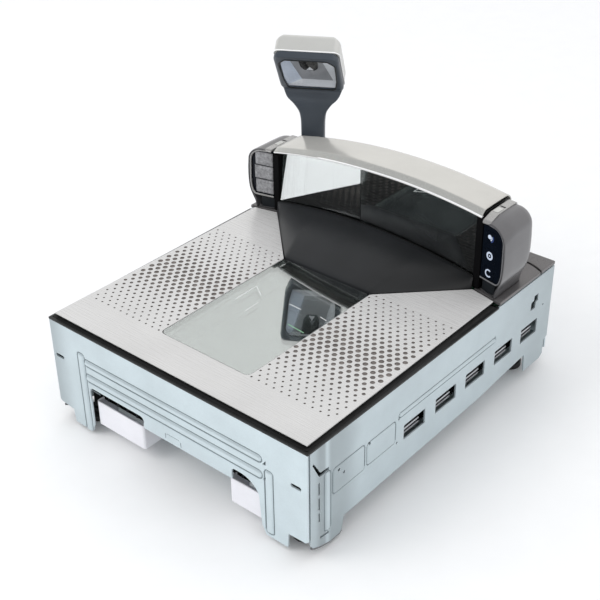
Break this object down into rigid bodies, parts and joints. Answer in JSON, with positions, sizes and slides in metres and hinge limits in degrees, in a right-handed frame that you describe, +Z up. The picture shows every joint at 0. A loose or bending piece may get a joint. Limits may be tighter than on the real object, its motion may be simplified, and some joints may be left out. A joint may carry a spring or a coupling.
{
  "type": "in-counter checkout scanner and scale",
  "caption": "Bioptic in-counter checkout scanner with a weighing platter, an arched upright window, control keys, and a top-down reader on a rear pole.",
  "frame": {"origin": "on the resting plane under the levelling feet, in the middle of the footprint", "axes": "+X to the operator's right, +Y from the operator's edge to the back, +Z up"},
  "size_m": [0.2936, 0.355, 0.2807],
  "materials": {
    "zinc_sheet": "zinc-plated sheet steel with a cold blue cast, satin",
    "stainless": "brushed stainless steel",
    "satin_silver": "satin silver paint",
    "white_paint": "white powder coat",
    "black_plastic": "fine texture",
    "gloss_black": "polished",
    "charcoal_plastic": "satin, fine texture",
    "grey_plastic": "satin, fine texture",
    "pale_plastic": "matte",
    "black_rubber": "matte",
    "window_glass": "polished, scratch-resistant",
    "front_mirror": "front-surface mirror",
    "aluminium": "machined",
    "circuit_board": "solder mask"
  },
  "bodies": {
    "chassis": {"front_panel": "zinc_sheet", "left_side_panel": "zinc_sheet", "right_side_panel": "zinc_sheet", "rear_panel": "zinc_sheet", "base_pan": "zinc_sheet", "left_vent_fins": "aluminium", "right_vent_fins": "aluminium", "left_counter_bracket": "white_paint", "right_counter_bracket": "white_paint", "top_frame": "black_plastic", "drip_seal": "black_rubber", "load_cell": "aluminium", "load_cell_mount": "aluminium", "optics_tub": "black_plastic", "lower_mirror_left": "front_mirror", "lower_mirror_right": "front_mirror", "lower_camera": "gloss_black", "riser": "charcoal_plastic", "upright_window": "window_glass", "window_frame": "black_plastic", "bonnet": "satin_silver", "left_end_cap": "grey_plastic", "right_end_cap": "grey_plastic", "left_cap_sill": "charcoal_plastic", "right_cap_sill": "charcoal_plastic", "left_indicator_strip": "satin_silver", "right_indicator_strip": "satin_silver", "control_panel": "gloss_black", "key_board": "circuit_board", "speaker_panel": "gloss_black", "speaker_grille_top": "grey_plastic", "speaker_grille_middle": "grey_plastic", "speaker_grille_bottom": "grey_plastic", "speaker_driver": "black_plastic", "tower_chassis": "black_plastic", "upper_mirror_left": "front_mirror", "upper_mirror_right": "front_mirror", "upper_camera": "gloss_black", "rear_deck": "grey_plastic", "main_board": "circuit_board", "interface_ports": "aluminium", "reader_front_shell": "charcoal_plastic", "reader_back_shell": "charcoal_plastic", "reader_cap": "satin_silver", "reader_window": "window_glass", "reader_funnel": "pale_plastic", "reader_camera": "gloss_black", "reader_cable": "black_plastic"},
    "load_carrier": {"scale_spider": "aluminium"},
    "platter_assembly": {"platter": "stainless", "platter_backing": "black_plastic", "platter_window": "window_glass"},
    "volume_button": {"volume_key": "gloss_black"},
    "zero_button": {"zero_key": "gloss_black"},
    "reset_button": {"reset_key": "gloss_black"},
    "foot_front_left": {"levelling_foot_front_left": "black_rubber"},
    "foot_front_right": {"levelling_foot_front_right": "black_rubber"},
    "foot_rear_left": {"levelling_foot_rear_left": "black_rubber"},
    "foot_rear_right": {"levelling_foot_rear_right": "black_rubber"},
    "rear_cover": {"cable_cover": "grey_plastic"}
  },
  "joints": [
    {"name": "weighing_travel", "type": "slide", "parent": "chassis", "child": "load_carrier", "axis": [0, 0, 1], "range_m": [-0.0003, 0]},
    {"name": "platter_lift", "type": "slide", "parent": "load_carrier", "child": "platter_assembly", "axis": [0, 0, 1], "range_m": [0, 0.06]},
    {"name": "volume_press", "type": "slide", "parent": "chassis", "child": "volume_button", "axis": [0.23, 0.9732, 0], "range_m": [0, 0.0008]},
    {"name": "zero_press", "type": "slide", "parent": "chassis", "child": "zero_button", "axis": [0.23, 0.9732, 0], "range_m": [0, 0.0008]},
    {"name": "reset_press", "type": "slide", "parent": "chassis", "child": "reset_button", "axis": [0.23, 0.9732, 0], "range_m": [0, 0.0008]},
    {"name": "front_left_foot_feed", "type": "slide", "parent": "chassis", "child": "foot_front_left", "axis": [0, 0, 1], "range_m": [-0.008, 0.002]},
    {"name": "front_right_foot_feed", "type": "slide", "parent": "chassis", "child": "foot_front_right", "axis": [0, 0, 1], "range_m": [-0.008, 0.002]},
    {"name": "rear_left_foot_feed", "type": "slide", "parent": "chassis", "child": "foot_rear_left", "axis": [0, 0, 1], "range_m": [-0.008, 0.002]},
    {"name": "rear_right_foot_feed", "type": "slide", "parent": "chassis", "child": "foot_rear_right", "axis": [0, 0, 1], "range_m": [-0.008, 0.002]},
    {"name": "cover_lift", "type": "slide", "parent": "chassis", "child": "rear_cover", "axis": [0, 0, 1], "range_m": [0, 0.025]}
  ]
}
